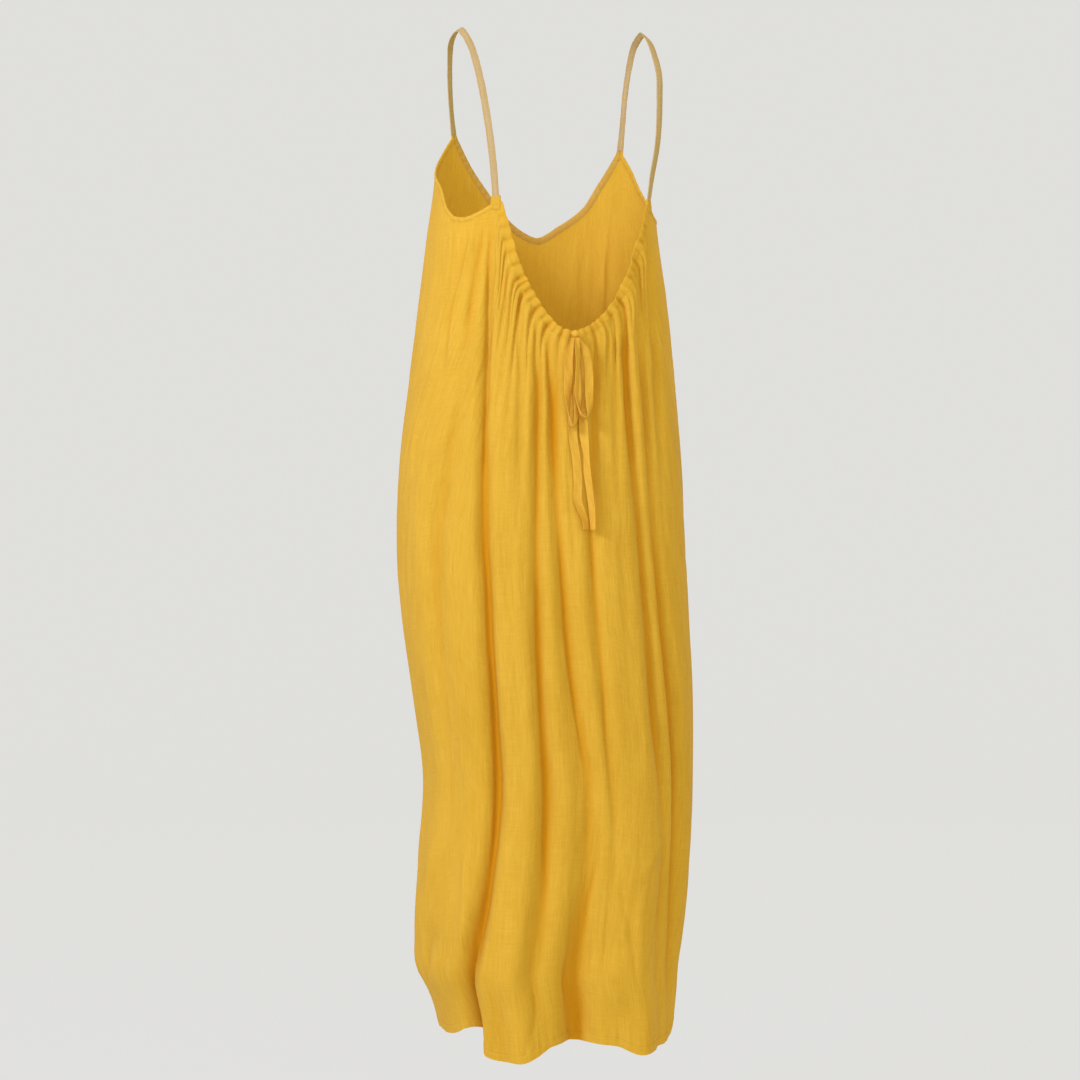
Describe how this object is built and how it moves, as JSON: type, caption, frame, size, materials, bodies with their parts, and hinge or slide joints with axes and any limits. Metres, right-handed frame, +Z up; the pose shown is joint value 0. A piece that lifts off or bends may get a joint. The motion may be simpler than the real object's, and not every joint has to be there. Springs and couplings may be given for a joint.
{
  "type": "sundress",
  "caption": "Maxi slip sundress in its worn shape, with a V front, a low gathered back with a drawstring bow, and thin shoulder straps.",
  "frame": {"origin": "midway between the tops of the two shoulder straps, level with those tops, where the wearer's shoulders hold the dress up", "axes": "+Z up the dress, -Y towards its front, +X towards the wearer's left"},
  "size_m": [0.3719, 0.2922, 1.2746],
  "materials": {
    "cloth": "semi-matte crinkled gauze, mustard yellow, with fine upright slubs",
    "trim": "matte folded strip of the same gauze, a little paler",
    "tie": "matte flat tie of the same gauze"
  },
  "bodies": {
    "root": {"front_panel": "cloth", "back_panel": "cloth", "back_casing": "cloth", "neck_binding": "trim", "armhole_binding_left": "trim", "armhole_binding_right": "trim", "strap_left": "trim", "strap_right": "trim", "tie_knot": "tie", "tie_loop_left": "tie", "tie_loop_right": "tie", "tie_tail_left": "tie", "tie_tail_right": "tie"}
  },
  "joints": []
}
